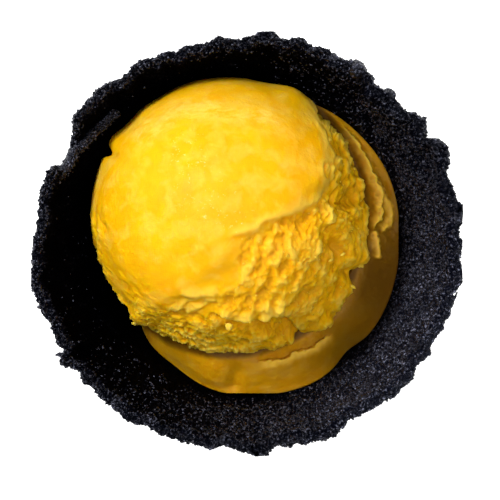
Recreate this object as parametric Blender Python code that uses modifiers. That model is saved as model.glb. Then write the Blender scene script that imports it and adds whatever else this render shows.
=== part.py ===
# A scoop of sorbet in a black rolled wafer cup.
#
# The cup stands on the floor with the middle of its flat foot at the origin and +Z up.
# The overlap of the rolled wafer is at the back left, around 145 degrees from +X.
# Shapes are worked out in millimetres and turned into metres where a mesh is written.

import bpy
import bmesh
import numpy as np

MM = 0.001

# The wafer cup
CUP_HEIGHT = 60.0
MOUTH_RADIUS = 42.0        # to the middle of the wall
WALL = 2.1
WALL_LEAN = 0.31           # how far the wall comes in for each millimetre down
WALL_BELLY = 0.4           # how far it swells outwards halfway up
FLOOR = 2.4
FOOT_ROUND = 6.0
FLOOR_ROUND = 4.0
CUP_STEPS = 120
WALL_ROWS = 6
RIM_BAND = 3.5             # depth of the rounded rim's own rows
RIM_ROWS = (               # place across the wall, -1 inside to 1 outside; depth below the top
    (-0.9, 1.2),
    (-0.45, 0.15),
    (0.45, 0.0),
    (0.95, 1.0),
)

# The rim: broad waves, small crags, and the lumps that stand out most
RIM_WAVES = dict(counts=(2, 3, 5, 7), height=0.35, seed=4)
RIM_CRAGS = dict(counts=(17, 23, 31, 38, 47), height=0.26, seed=11)
RIM_TEETH = dict(counts=(11, 19, 29, 37, 53), height=0.42, seed=23)
WAVE_ZONE = (34.0, 58.0)   # heights between which the waves and crags grow to full size
CRAG_ZONE = (46.0, 58.0)
STRETCH_FROM = 20.0        # the wall below this height doesn't follow the rim up and down
RIM_LUMPS = (              # angle, push outwards, half width in degrees
    (25, 2.5, 4.0),
    (9, 0.9, 5.0),
    (46, -1.2, 7.0),
    (103, -1.1, 5.0),
    (127, -0.5, 6.0),
    (190, 1.5, 9.0),
    (213, 1.5, 2.5),
    (236, 0.7, 9.0),
    (303, -1.3, 8.0),
    (316, 0.8, 4.0),
    (347, 1.3, 10.0),
)

# The overlap: the outer end drops away and stops, the inner end is a flap behind it
LAP_OPENS = (98.0, 130.0)
LAP_OUT = 1.2
LAP_INNER_ZONE = (37.0, 46.0)
LAP_OUTER_ZONE = (3.0, 14.0)
OUTER_END = (156.0, 160.0)
OUTER_DROP = 9.0
DROP_ZONE = (141.0, 153.0)
FLAP_START = 134.0
FLAP_END = 165.0
FLAP_LOW = 38.0
FLAP_TOP = (49.5, 59.0)
FLAP_CURVE = 1.3           # power of the flap's crest line
FLAP_THICK = 1.5
FLAP_INSET = 0.5
FLAP_GRID = (12, 7)

# The scoop
SCOOP_RADIUS = 28.6
SCOOP_CENTRE = (-4.2, 6.2, 42.0)
SCOOP_DETAIL = 5           # subdivisions of the ball
RELIEF_FROM = (-0.12, 0.02)    # share of the radius up from the equator where relief begins
HEM_FLARE = dict(toward=-42.0, spread=38.0, out=2.3, height=5.0, level=2.5)
HEM_TATTERS = dict(counts=(13, 21, 34), height=0.45, seed=7)
TORN_SINK = 1.3            # how far the torn side lies below the smooth cap
TORN_ACROSS = (0.62, -0.78)    # direction seen from above from the smooth cap to the torn side
TORN_STARTS = 5.5          # distance that way from the scoop's centre
TORN_BLEND = 5.0
TORN_ABOVE = (0.05, 0.25)  # share of the radius up where the sink begins

# Folds on the scoop: points seen from above, from the scoop's centre; rise; half width
SCOOP_FOLDS = dict(
    crease_ridge=(((-0.6, -5.7), (6.0, -3.5), (13.3, -0.3), (20.7, 3.5)), 0.9, 1.7),
    crease_groove=(((2.0, -8.3), (7.4, -5.3), (15.3, -1.3), (20.0, 2.0)), -1.0, 1.6),
    tear_lip=(((17.8, 22.6), (21.2, 13.8), (19.7, 9.4), (21.3, 6.5)), 1.1, 1.7),
    tear_hollow=(((22.1, 4.3), (25.8, 2.7)), -1.9, 2.0),
    facet_lip=(((25.3, 1.3), (22.3, -2.0), (19.5, -9.1)), 1.0, 1.4),
    facet_hollow=(((21.9, -4.1), (24.1, -7.5)), -1.4, 1.5),
    ledge_lip=(((-0.9, -21.4), (6.4, -22.4), (12.8, -21.3)), 1.4, 1.6),
    ledge_hollow=(((3.0, -23.8), (8.9, -24.3), (15.3, -24.3)), -1.7, 1.4),
    shelf=(((-7.3, -17.2), (-2.9, -17.0)), 0.7, 1.5),
    knob=(((26.1, -8.0), (27.6, -10.2)), 1.6, 2.2),
    knob_hollow=(((26.3, -12.6), (27.3, -12.4)), -2.4, 1.7),
    lobe=(((-23.6, 15.4), (-23.0, 17.0)), 1.5, 2.3),
    notch=(((-23.9, 12.5), (-23.0, 12.8)), -1.6, 1.1),
    curl=(((-19.1, -21.4), (-18.4, -22.0)), 1.3, 1.6),
)

# The fill: the same sorbet pressed down into the cup
FILL_LEVEL = 38.5          # beside the scoop
EDGE_LEVEL = 32.0          # where it meets the wafer
EDGE_WAVES = dict(counts=(3, 5, 8), height=0.4, seed=3)
EDGE_DIPS = (              # angle, how much lower the edge lies there, half width
    (235, 8.0, 26.0),
    (125, 2.5, 60.0),
    (60, -3.0, 26.0),
    (296, -2.0, 14.0),
    (313, 3.0, 7.0),
)
FILL_SHOULDER = 24.0       # radius at which the top begins to fall towards the wall
EDGE_REACH = 1.04          # the fall ends at this share of the edge's radius
FOLD_FREE = (0.93, 1.0)    # share of the way out where the folds fade
FILL_STEPS = 64
FILL_RINGS = 18
RING_POWER = 0.62          # brings the rings on the top closer together near the edge
TOP_SHARE = 0.66           # share of the rings that lie on the top
WALL_SHARE = 0.6           # share of the other rings that lie on the wafer's wall
FLOOR_SPREAD = 1.3         # brings the first floor ring out to the wall's foot

# Folds on the fill: points seen from above, from the cup's axis; rise; half width
FILL_FOLDS = dict(
    right_fold=(((19.8, 26.5), (24.6, 19.0), (27.4, 11.9), (27.8, 5.0)), 2.6, 1.6),
    second_fold=(((29.2, 10.2), (30.5, 6.4), (29.4, 3.2)), 1.8, 1.4),
    side_fold=(((27.4, 1.2), (27.8, -2.4)), 1.3, 1.3),
    front_lip=(((6.0, -25.6), (12.4, -23.2), (17.4, -19.8)), 1.2, 1.3),
    front_valley=(((-2.3, -27.2), (-3.6, -33.4)), -1.4, 1.5),
    front_lump=(((-14.2, -24.7), (-8.9, -28.5)), 1.5, 3.6),
)

GAP = 0.35                 # between the sorbet and the wafer, and between scoop and fill
SPARE = 0.25               # the scoop stands this much further off the wafer
FLAP_SHADE = 22.0          # half width in degrees over which the scoop makes way for the flap

SHARP_ANGLE = 50.0


def ramp(value, start, end):
    """Rise smoothly from 0 at start to 1 at end."""
    share = np.clip((value - start) / (end - start), 0.0, 1.0)
    return share * share * (3.0 - 2.0 * share)


def hill(distance, half_width):
    """A round hill of height 1 at distance 0."""
    return np.exp(-(distance / half_width) ** 2)


def turned_from(angle, centre):
    """Degrees from centre to angle, the short way round."""
    return (angle - centre + 180.0) % 360.0 - 180.0


def waves(angle, counts, height, seed):
    """Waves round the circle with seeded starts; those with more crests are lower."""
    starts = np.random.default_rng(seed).uniform(0.0, 2.0 * np.pi, len(counts))
    turn = np.radians(angle)
    crests = [np.cos(count * turn + start) for count, start in zip(counts, starts)]
    weights = np.sqrt(counts[0] / np.array(counts))
    return height * sum(weight * crest for weight, crest in zip(weights, crests))


def polar(points):
    """Angle in degrees and distance from the cup's axis."""
    angle = np.degrees(np.arctan2(points[:, 1], points[:, 0]))
    return angle, np.hypot(points[:, 0], points[:, 1])


def distance_to_line(places, line):
    """Distance in plan from each place to a line of straight stretches."""
    nearest = np.full(len(places), np.inf)
    for first, second in zip(line, line[1:]):
        start = np.array(first)
        along = np.array(second) - start
        share = np.clip((places - start) @ along / (along @ along), 0.0, 1.0)
        away = places - start - share[:, None] * along
        nearest = np.minimum(nearest, np.hypot(away[:, 0], away[:, 1]))
    return nearest


def folded(places, folds):
    """The rise that all the folds give at each place in plan."""
    rise = np.zeros(len(places))
    for line, height, half_width in folds.values():
        rise += height * hill(distance_to_line(places, line), half_width)
    return rise


def wall_radius(height):
    """Radius to the middle of the wall, before the rim's waves and the overlap."""
    share = np.clip(height / CUP_HEIGHT, 0.0, 1.0)
    return MOUTH_RADIUS - WALL_LEAN * (CUP_HEIGHT - height) + WALL_BELLY * np.sin(np.pi * share)


def inside_radius(height):
    return wall_radius(height) - WALL / 2.0


def lap_push(angle):
    """How far the outer layer stands out where the wafer laps over itself."""
    turn = np.mod(angle, 360.0)
    return LAP_OUT * ramp(turn, *LAP_OPENS) * (1.0 - ramp(turn, *OUTER_END))


def rim_push(angle, height):
    """How far the wall wanders in and out: broadly down to its middle, in crags at the rim."""
    crags = waves(angle, **RIM_CRAGS)
    for centre, out, half_width in RIM_LUMPS:
        crags = crags + out * hill(turned_from(angle, centre), half_width)
    return waves(angle, **RIM_WAVES) * ramp(height, *WAVE_ZONE) + crags * ramp(height, *CRAG_ZONE)


def rim_height(angle):
    """Height of the body's rim: ragged, and low where the outer layer drops away."""
    turn = np.mod(angle, 360.0)
    drop = ramp(turn, *DROP_ZONE) * (1.0 - ramp(turn, *OUTER_END))
    return CUP_HEIGHT + waves(angle, **RIM_TEETH) - OUTER_DROP * drop


def arc(centre, radius, start, end, count):
    """Points on an arc in the profile's plane, angles in degrees."""
    turns = np.radians(np.linspace(start, end, count))
    return [(centre[0] + radius * np.cos(t), centre[1] + radius * np.sin(t)) for t in turns]


def cup_profile():
    """Half section of the plain cup, from the middle of its floor over the rim to its foot."""
    half = WALL / 2.0
    lean = np.degrees(np.arctan(WALL_LEAN))
    floor_centre = (inside_radius(FLOOR + FLOOR_ROUND) - FLOOR_ROUND, FLOOR + FLOOR_ROUND)
    foot_centre = (wall_radius(FOOT_ROUND) + half - FOOT_ROUND, FOOT_ROUND)
    top = CUP_HEIGHT - RIM_BAND
    inner_rows = np.linspace(floor_centre[1] + FLOOR_ROUND, top, WALL_ROWS)
    outer_rows = np.linspace(top, 2.0 * FOOT_ROUND - 1.0, WALL_ROWS)
    profile = [(0.0, FLOOR)]
    profile += arc(floor_centre, FLOOR_ROUND, -90.0, -lean, 3)
    profile += [(wall_radius(z) - half, z) for z in inner_rows]
    for side, below in RIM_ROWS:
        height = CUP_HEIGHT - below
        profile.append((wall_radius(height) + side * half, height))
    profile += [(wall_radius(z) + half, z) for z in outer_rows]
    profile += arc(foot_centre, FOOT_ROUND, -lean, -90.0, 4)
    profile.append((0.0, 0.0))
    return profile


def ragged_wall(points):
    """Carry the turned cup's points to the rolled wafer's uneven rim and overlap."""
    angle, radius = polar(points)
    height = points[:, 2]
    side = np.clip((radius - wall_radius(height)) / (WALL / 2.0), -1.0, 1.0)
    lifted = height + (rim_height(angle) - CUP_HEIGHT) * ramp(height, STRETCH_FROM, CUP_HEIGHT)
    out = radius - wall_radius(height) + wall_radius(lifted)
    out += rim_push(angle, lifted)
    share = (side + 1.0) / 2.0
    inner_lap = (1.0 - share) * ramp(lifted, *LAP_INNER_ZONE)
    outer_lap = share * ramp(lifted, *LAP_OUTER_ZONE)
    out += lap_push(angle) * (inner_lap + outer_lap)
    on_axis = radius < 1e-6
    turn = np.radians(angle)
    moved = np.column_stack((out * np.cos(turn), out * np.sin(turn), lifted))
    moved[on_axis] = points[on_axis]
    return moved


def flap_sheet(points):
    """Bend a flat sheet, -1 to 1 both ways, into the wafer's inner end behind the overlap."""
    across = (points[:, 0] + 1.0) / 2.0
    up = (points[:, 1] + 1.0) / 2.0
    angle = FLAP_START + (FLAP_END - FLAP_START) * across
    crest = FLAP_TOP[0] + (FLAP_TOP[1] - FLAP_TOP[0]) * across ** FLAP_CURVE
    crest = crest + waves(angle, **RIM_TEETH) * (1.0 - across)
    height = FLAP_LOW + (crest - FLAP_LOW) * up
    buried = ramp(angle, OUTER_END[0], FLAP_END - 1.0)
    inset = FLAP_INSET * (1.0 - buried)
    radius = wall_radius(height) - inset + rim_push(angle, height)
    turn = np.radians(angle)
    return np.column_stack((radius * np.cos(turn), radius * np.sin(turn), height))


def scoop_surface(points):
    """Carry a unit ball's points to the scoop: a smooth cap, a torn side and a ragged hem."""
    above = ramp(points[:, 2], *RELIEF_FROM)
    plan = points[:, :2] * SCOOP_RADIUS
    bearing, _ = polar(points)
    torn = ramp(plan @ np.array(TORN_ACROSS) - TORN_STARTS, 0.0, TORN_BLEND)
    torn = torn * ramp(points[:, 2], *TORN_ABOVE)
    hem = hill(turned_from(bearing, HEM_FLARE["toward"]), HEM_FLARE["spread"])
    hem = hem * hill(points[:, 2] * SCOOP_RADIUS - HEM_FLARE["level"], HEM_FLARE["height"])
    flare = (HEM_FLARE["out"] + waves(bearing, **HEM_TATTERS)) * hem
    relief = (folded(plan, SCOOP_FOLDS) - TORN_SINK * torn + flare) * above
    moved = np.array(SCOOP_CENTRE) + points * (SCOOP_RADIUS + relief)[:, None]
    return kept_inside(moved)


def kept_inside(points):
    """Press points that would reach into the wafer back to just inside its wall."""
    angle, radius = polar(points)
    flap = hill(turned_from(angle, (FLAP_START + FLAP_END) / 2.0), FLAP_SHADE) * FLAP_INSET
    limit = inside_radius(points[:, 2]) - GAP - flap - SPARE
    share = np.minimum(1.0, limit / np.maximum(radius, 1e-6))
    return points * np.column_stack((share, share, np.ones(len(points))))


def dent_height(x, y):
    """Top of the fill under the scoop: the scoop's underside with a small gap."""
    radius = SCOOP_RADIUS + GAP
    away = np.hypot(x - SCOOP_CENTRE[0], y - SCOOP_CENTRE[1])
    sunk = np.sqrt(np.clip(radius ** 2 - away ** 2, 0.0, None))
    return np.where(away < radius, SCOOP_CENTRE[2] - sunk, np.inf)


def edge_height(angle):
    """Height at which the fill meets the wafer."""
    height = EDGE_LEVEL + waves(angle, **EDGE_WAVES)
    for centre, lower, half_width in EDGE_DIPS:
        height = height - lower * hill(turned_from(angle, centre), half_width)
    return height


def fill_surface(points):
    """Carry a unit ball's points to the fill: the upper rings to its top, the rest to the cup."""
    angle, _ = polar(points)
    turn = np.radians(angle)
    ring = np.degrees(np.arccos(np.clip(points[:, 2], -1.0, 1.0))) / 180.0
    edge = edge_height(angle)
    rim_out = inside_radius(edge) - GAP
    edge = np.minimum(edge, dent_height(rim_out * np.cos(turn), rim_out * np.sin(turn)))
    rim_out = inside_radius(edge) - GAP

    spread = np.clip(ring / TOP_SHARE, 0.0, 1.0) ** RING_POWER
    out = rim_out * spread
    x, y = out * np.cos(turn), out * np.sin(turn)
    fall = ramp(out, FILL_SHOULDER, EDGE_REACH * rim_out)
    top = FILL_LEVEL - (FILL_LEVEL - edge) * fall
    top += folded(np.column_stack((x, y)), FILL_FOLDS) * (1.0 - ramp(spread, *FOLD_FREE))
    top = np.minimum(top, dent_height(x, y))
    top = np.where(spread >= 1.0, edge, top)

    down = np.clip((ring - TOP_SHARE) / (1.0 - TOP_SHARE), 0.0, 1.0)
    base = FLOOR + GAP
    turn_up = base + FLOOR_ROUND
    side = edge + (turn_up - edge) * np.clip(down / WALL_SHARE, 0.0, 1.0)
    side_out = inside_radius(side) - GAP
    corner_out = inside_radius(turn_up) - GAP - FLOOR_ROUND
    floor_out = corner_out * np.clip(FLOOR_SPREAD * (1.0 - down) / (1.0 - WALL_SHARE), 0.0, 1.0)
    on_top = down < 0.001
    on_side = down < WALL_SHARE
    radius = np.where(on_top, out, np.where(on_side, side_out, floor_out))
    height = np.where(on_top, top, np.where(on_side, side, base))
    return np.column_stack((radius * np.cos(turn), radius * np.sin(turn), height))


def move_points(mesh, shape, scale=1.0):
    """Replace a mesh's points, read in units of scale metres, by what shape makes of them."""
    flat = np.empty(len(mesh.vertices) * 3)
    mesh.vertices.foreach_get("co", flat)
    moved = shape(flat.reshape(-1, 3) / scale) * MM
    mesh.vertices.foreach_set("co", moved.ravel())
    mesh.update()


def new_object(name, mesh, collection):
    part = bpy.data.objects.new(name, mesh)
    collection.objects.link(part)
    return part


def applied(part):
    """Give an object the mesh that its modifiers make, and drop the modifiers."""
    seen = part.evaluated_get(bpy.context.evaluated_depsgraph_get())
    mesh = bpy.data.meshes.new_from_object(seen)
    part.modifiers.clear()
    part.data = mesh
    return part


def plain_mesh(name, make, **sizes):
    """A mesh from one of bmesh's primitives."""
    shape = bmesh.new()
    make(shape, **sizes)
    mesh = bpy.data.meshes.new(name)
    shape.to_mesh(mesh)
    shape.free()
    return mesh


def material(name, colour, roughness):
    finish = bpy.data.materials.new(name)
    finish.use_nodes = True
    shader = finish.node_tree.nodes["Principled BSDF"]
    shader.inputs["Base Color"].default_value = (*colour, 1.0)
    shader.inputs["Roughness"].default_value = roughness
    shader.inputs["Metallic"].default_value = 0.0
    return finish


def finish_part(part, finish):
    part.data.materials.clear()
    part.data.materials.append(finish)
    part.data.shade_smooth()
    part.data.set_sharp_from_angle(angle=np.radians(SHARP_ANGLE))


def make_cup(collection, tools):
    """The turned cup with its ragged rim, and the inner end of the wafer fused on as a flap."""
    profile = [(r * MM, 0.0, z * MM) for r, z in cup_profile()]
    outline = bpy.data.meshes.new("wafer_cup")
    outline.from_pydata(profile, [(i, i + 1) for i in range(len(profile) - 1)], [])
    cup = new_object("wafer_cup", outline, collection)
    turn = cup.modifiers.new("turn", "SCREW")
    turn.axis = "Z"
    turn.steps = CUP_STEPS
    turn.render_steps = CUP_STEPS
    turn.use_merge_vertices = True
    turn.merge_threshold = 0.00001
    applied(cup)
    move_points(cup.data, ragged_wall, MM)

    columns, rows = FLAP_GRID
    sheet = plain_mesh("flap", bmesh.ops.create_grid, x_segments=columns, y_segments=rows, size=1.0)
    move_points(sheet, flap_sheet)
    flap = new_object("flap", sheet, tools)
    thick = flap.modifiers.new("thick", "SOLIDIFY")
    thick.thickness = FLAP_THICK * MM
    thick.offset = 0.0

    join = cup.modifiers.new("join", "BOOLEAN")
    join.operation = "UNION"
    join.operand_type = "COLLECTION"
    join.collection = tools
    applied(cup)
    bpy.data.objects.remove(flap, do_unlink=True)
    bpy.data.collections.remove(tools)
    return cup


def make_scoop(collection):
    """The scoop, from an even ball of small triangles."""
    sizes = dict(subdivisions=SCOOP_DETAIL, radius=1.0)
    ball = plain_mesh("sorbet_scoop", bmesh.ops.create_icosphere, **sizes)
    move_points(ball, scoop_surface)
    return new_object("sorbet_scoop", ball, collection)


def make_fill(collection):
    """The pressed sorbet, from a ball whose rings are led over its top and down the cup."""
    sizes = dict(u_segments=FILL_STEPS, v_segments=FILL_RINGS, radius=1.0)
    ball = plain_mesh("sorbet_fill", bmesh.ops.create_uvsphere, **sizes)
    move_points(ball, fill_surface)
    return new_object("sorbet_fill", ball, collection)


def main():
    for old in list(bpy.data.objects):
        bpy.data.objects.remove(old, do_unlink=True)
    parts = bpy.data.collections.new("sorbet_cup")
    tools = bpy.data.collections.new("tools")
    bpy.context.scene.collection.children.link(parts)
    bpy.context.scene.collection.children.link(tools)

    wafer = material("black_wafer", (0.014, 0.012, 0.018), 0.45)
    sorbet = material("yellow_sorbet", (0.95, 0.58, 0.02), 0.4)
    finish_part(make_cup(parts, tools), wafer)
    finish_part(make_scoop(parts), sorbet)
    finish_part(make_fill(parts), sorbet)


main()
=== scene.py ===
import math
import bpy
import numpy as np
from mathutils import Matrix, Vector


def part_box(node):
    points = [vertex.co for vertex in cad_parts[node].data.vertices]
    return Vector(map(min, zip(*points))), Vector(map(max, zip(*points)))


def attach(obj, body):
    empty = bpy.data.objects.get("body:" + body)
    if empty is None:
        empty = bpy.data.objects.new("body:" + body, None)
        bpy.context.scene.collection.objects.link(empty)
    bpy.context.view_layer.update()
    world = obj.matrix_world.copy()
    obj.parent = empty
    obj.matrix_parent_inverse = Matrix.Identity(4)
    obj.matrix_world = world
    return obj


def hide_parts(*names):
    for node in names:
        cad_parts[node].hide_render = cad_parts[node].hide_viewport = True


# A scoop of yellow sorbet in a black rolled wafer cup, seen from straight above.
# Shapes are worked out in millimetres and turned into metres where a mesh is written.
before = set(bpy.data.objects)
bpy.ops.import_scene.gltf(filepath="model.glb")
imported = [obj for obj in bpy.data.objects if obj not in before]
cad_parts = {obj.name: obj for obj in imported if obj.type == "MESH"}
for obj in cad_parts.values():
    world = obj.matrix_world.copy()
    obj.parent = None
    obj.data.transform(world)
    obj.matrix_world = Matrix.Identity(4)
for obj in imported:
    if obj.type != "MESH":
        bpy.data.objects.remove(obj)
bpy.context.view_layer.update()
mm = 0.001
print("frame loaded:", sorted(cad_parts))


# Sums on whole arrays that every piece uses

def ramp(value, start, end):
    # rises smoothly from 0 at start to 1 at end: 3 t squared minus 2 t cubed
    share = np.clip((value - start) / (end - start), 0.0, 1.0)
    return share * share * (3.0 - 2.0 * share)


def hill(distance, halfWidth):
    # a bell of height 1 at distance 0: e to the minus distance over width squared
    return np.exp(-(distance / halfWidth) ** 2)


def turnedFrom(angle, centre):
    return (angle - centre + 180.0) % 360.0 - 180.0


def waves(angle, counts, height, seed):
    # cosines round the circle with seeded starts; those with more crests are lower
    starts = np.random.default_rng(seed).uniform(0.0, 2.0 * np.pi, len(counts))
    turn = np.radians(angle)
    total = 0.0
    for count, start in zip(counts, starts):
        total = total + math.sqrt(counts[0] / count) * np.cos(count * turn + start)
    return height * total


def bearingOf(points):
    return np.degrees(np.arctan2(points[:, 1], points[:, 0]))


def roundBy(radius, turn, height):
    return np.column_stack((radius * np.cos(turn), radius * np.sin(turn), height))


def smoothLine(corners, perStretch=5):
    # a curve through all corners, each stretch a cubic that leans on the two corners beside it
    corners = np.array(corners)
    ends = (2.0 * corners[:1] - corners[1:2], corners, 2.0 * corners[-1:] - corners[-2:-1])
    around = np.vstack(ends)
    share = np.linspace(0.0, 1.0, perStretch, endpoint=False)[:, None]
    stretches = []
    for before, first, second, after in zip(around, around[1:], around[2:], around[3:]):
        bend = 2.0 * before - 5.0 * first + 4.0 * second - after
        twist = 3.0 * (first - second) + after - before
        stretches.append(first + 0.5 * share * (second - before + share * (bend + share * twist)))
    return np.vstack(stretches + [corners[-1:]])


def lineSide(places, line):
    # distance in plan to a line, positive on its left; how far along it, 0 to 1; the way to its left
    nearest = np.full(len(places), np.inf)
    signed = np.zeros(len(places))
    reached = np.zeros(len(places))
    leftWay = np.zeros((len(places), 2))
    for order, (start, end) in enumerate(zip(line, line[1:])):
        along = end - start
        offset = places - start
        share = np.clip(offset @ along / (along @ along), 0.0, 1.0)
        away = np.linalg.norm(offset - share[:, None] * along, axis=1)
        closer = away < nearest
        side = np.where(along[0] * offset[:, 1] - along[1] * offset[:, 0] < 0.0, -1.0, 1.0)
        nearest = np.where(closer, away, nearest)
        signed = np.where(closer, side * away, signed)
        reached = np.where(closer, (order + share) / (len(line) - 1), reached)
        left = np.array((-along[1], along[0])) / np.linalg.norm(along)
        leftWay = np.where(closer[:, None], left, leftWay)
    return signed, reached, leftWay


def folded(places, folds):
    # hills along lines seen from above, all added up
    rise = np.zeros(len(places))
    for line, height, halfWidth in folds.values():
        rise += height * hill(lineSide(places, np.array(line))[0], halfWidth)
    return rise


def tornSheets(places, lips, wander):
    # each sheet rises towards its torn edge, leans over it and drops on the line's left
    relief = np.zeros(len(places))
    crest = np.zeros(len(places))
    shift = np.zeros((len(places), 2))
    for rise, back, drop, on, lean, ragged, edge, line in lips.values():
        signed, reached, leftWay = lineSide(places, smoothLine(line))
        signed = signed + wander * ragged
        ends = ramp(reached, 0.0, 0.15) * (1.0 - ramp(reached, 0.85, 1.0))
        past = ramp(signed, -0.25 * edge, 0.75 * edge)
        upper = rise * (1.0 - past) * hill(np.minimum(signed, 0.0), back)
        lower = drop * past * hill(np.maximum(signed - edge, 0.0), on)
        relief += (upper - lower) * ends
        slope = np.where(signed < -0.2, 0.8 + 0.4 * edge, 0.3 + 0.15 * edge)
        crest = np.maximum(crest, hill(signed + 0.2, slope) * ends)
        shift += (lean * hill(signed + 0.2, 0.7) * ends)[:, None] * leftWay
    return relief, crest, shift


def insideOutline(places, corners):
    # how deep a place lies inside a closed outline, negative outside: crossings give the sign
    closed = np.vstack((corners, corners[:1]))
    depth = np.abs(lineSide(places, closed)[0])
    inside = np.zeros(len(places), dtype=bool)
    for (x0, y0), (x1, y1) in zip(closed, closed[1:]):
        if y0 != y1:
            spans = (places[:, 1] > y0) != (places[:, 1] > y1)
            inside ^= spans & (places[:, 0] < x0 + (places[:, 1] - y0) / (y1 - y0) * (x1 - x0))
    return np.where(inside, depth, -depth)


def latticeValue(cell, seed, channel):
    # a fixed random number from 0 to 1 for each whole-number cell
    mixed = cell[..., 0] * 73856093 ^ cell[..., 1] * 19349663 ^ cell[..., 2] * 83492791
    mixed = (mixed ^ (seed * 2654435 + channel * 97531)) & 0xFFFFFFFF
    mixed = (mixed ^ (mixed >> 15)) * 2246822519 & 0xFFFFFFFF
    mixed = (mixed ^ (mixed >> 13)) * 3266489917 & 0xFFFFFFFF
    return ((mixed ^ (mixed >> 16)) & 0xFFFFFF) / float(0xFFFFFF)


def latticeVector(cell, seed):
    return np.stack([latticeValue(cell, seed, channel) for channel in range(3)], axis=1)


def noise(points, size, seed):
    # gradient noise, about -1 to 1: slopes at the corners of a lattice, blended smoothly
    scaled = points / size
    cell = np.floor(scaled).astype(np.int64)
    inside = scaled - cell
    fade = inside ** 3 * (inside * (inside * 6.0 - 15.0) + 10.0)
    total = np.zeros(len(points))
    for corner in range(8):
        offset = np.array([corner & 1, corner >> 1 & 1, corner >> 2 & 1])
        at = cell + offset
        slope = latticeVector(at, seed) * 2.0 - 1.0
        weight = np.prod(np.where(offset == 1, fade, 1.0 - fade), axis=1)
        total += weight * np.sum(slope * (inside - offset), axis=1)
    return total * 1.5


def layered(points, size, octaves, seed):
    # noise over ever finer lattices, each half as high
    total = np.zeros(len(points))
    for order in range(octaves):
        total += noise(points, size / 2.0 ** order, seed + order) / 2.0 ** order
    return total


def noiseSum(points, seed, parts):
    # noises of several sizes, each with its own height and the next seed
    total = 0.0
    for order, (size, height) in enumerate(parts):
        total = total + noise(points, size, seed + order) * height
    return total


def cellGap(points, size, seed):
    # distance to the nearest and second nearest of points scattered one to a cell
    scaled = points / size
    cell = np.floor(scaled).astype(np.int64)
    near = np.full(len(points), 9.0)
    second = np.full(len(points), 9.0)
    for order in range(27):
        offset = np.array([order % 3, order // 3 % 3, order // 9]) - 1
        at = cell + offset
        away = np.linalg.norm(scaled - (at + latticeVector(at, seed)), axis=1)
        second = np.minimum(second, np.maximum(near, away))
        near = np.minimum(near, away)
    return near * size, second * size


def pebbles(points, size, seed):
    # round-topped lumps packed side by side: 1 minus the distance over a half width, squared
    near, _ = cellGap(points, size, seed)
    return np.clip(1.0 - (near / (0.68 * size)) ** 2, 0.0, 1.0)


def gridFaces(rows, columns, roundRows=False, roundColumns=True):
    # quads between neighbouring rows; a round direction joins its last to its first
    row, column = np.meshgrid(
        np.arange(rows if roundRows else rows - 1),
        np.arange(columns if roundColumns else columns - 1),
        indexing="ij",
    )
    below = (row + 1) % rows
    after = (column + 1) % columns
    here, under = row * columns, below * columns
    return np.stack((here + column, here + after, under + after, under + column), axis=-1).reshape(-1, 4)


def fan(ring, peak, turned=False):
    # triangles from each pair of neighbours on a closed ring of points to one peak
    after = np.roll(ring, -1)
    pair = (after, ring) if turned else (ring, after)
    return np.column_stack((np.full(len(ring), peak), *pair))


def makeMesh(name, points, quads, triangles=None):
    mesh = bpy.data.meshes.new(name)
    corners = quads.ravel()
    sizes = np.full(len(quads), 4)
    if triangles is not None:
        corners = np.concatenate((corners, triangles.ravel()))
        sizes = np.concatenate((sizes, np.full(len(triangles), 3)))
    mesh.vertices.add(len(points))
    mesh.vertices.foreach_set("co", (points * mm).astype(np.float32).ravel())
    mesh.loops.add(len(corners))
    mesh.loops.foreach_set("vertex_index", corners.astype(np.int32))
    mesh.polygons.add(len(sizes))
    starts = np.concatenate(([0], np.cumsum(sizes)[:-1]))
    mesh.polygons.foreach_set("loop_start", starts.astype(np.int32))
    mesh.update(calc_edges=True)
    mesh.validate()
    mesh.shade_smooth()
    return mesh


def linkObject(name, data):
    made = bpy.data.objects.new(name, data)
    bpy.context.scene.collection.objects.link(made)
    return made


def makePiece(name, mesh, material, node):
    piece = linkObject(name, mesh)
    mesh.materials.append(material)
    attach(piece, "root")
    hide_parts(node)
    print(name, len(mesh.vertices), "points,", sum(len(p.vertices) - 2 for p in mesh.polygons), "triangles")
    return piece


def addValue(mesh, name, values):
    attribute = mesh.attributes.new(name, "FLOAT", "POINT")
    attribute.data.foreach_set("value", values.astype(np.float32))


def addPlace(mesh, name, places):
    attribute = mesh.attributes.new(name, "FLOAT_VECTOR", "POINT")
    attribute.data.foreach_set("vector", places.astype(np.float32).ravel())


def withinBox(points, node):
    # keeps fine grains inside the solid's own box
    low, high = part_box(node)
    return np.clip(points, np.array(low) / mm, np.array(high) / mm)


def scatterBalls(centres, sizes, frames, rings, sides, wobble, seed):
    # many small balls in one mesh, each stretched along its own three directions and roughened
    polar = np.pi * np.arange(1, rings + 1) / (rings + 1)
    turn = 2.0 * np.pi * np.arange(sides) / sides
    polarGrid, turnGrid = [grid.ravel() for grid in np.meshgrid(polar, turn, indexing="ij")]
    unit = roundBy(np.sin(polarGrid), turnGrid, np.cos(polarGrid))
    unit = np.vstack((unit, [[0.0, 0.0, 1.0], [0.0, 0.0, -1.0]]))
    count = len(centres)
    local = unit[None] * sizes[:, None, :]
    world = np.einsum("npk,nkj->npj", local, frames)
    flat = (world + centres[:, None]).reshape(-1, 3)
    average = np.repeat(sizes.min(axis=1), len(unit))
    swell = 1.0 + wobble * layered(flat / average[:, None], 1.1, 2, seed)
    points = (world * swell.reshape(count, -1, 1) + centres[:, None]).reshape(-1, 3)
    quads = gridFaces(rings, sides)[:, ::-1]
    ring = np.arange(sides)
    last = (rings - 1) * sides
    fans = np.vstack((fan(ring, rings * sides), fan(ring + last, rings * sides + 1, True)))
    steps = np.arange(count)[:, None, None] * len(unit)
    return points, (quads[None] + steps).reshape(-1, 4), (fans[None] + steps).reshape(-1, 3)


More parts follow.
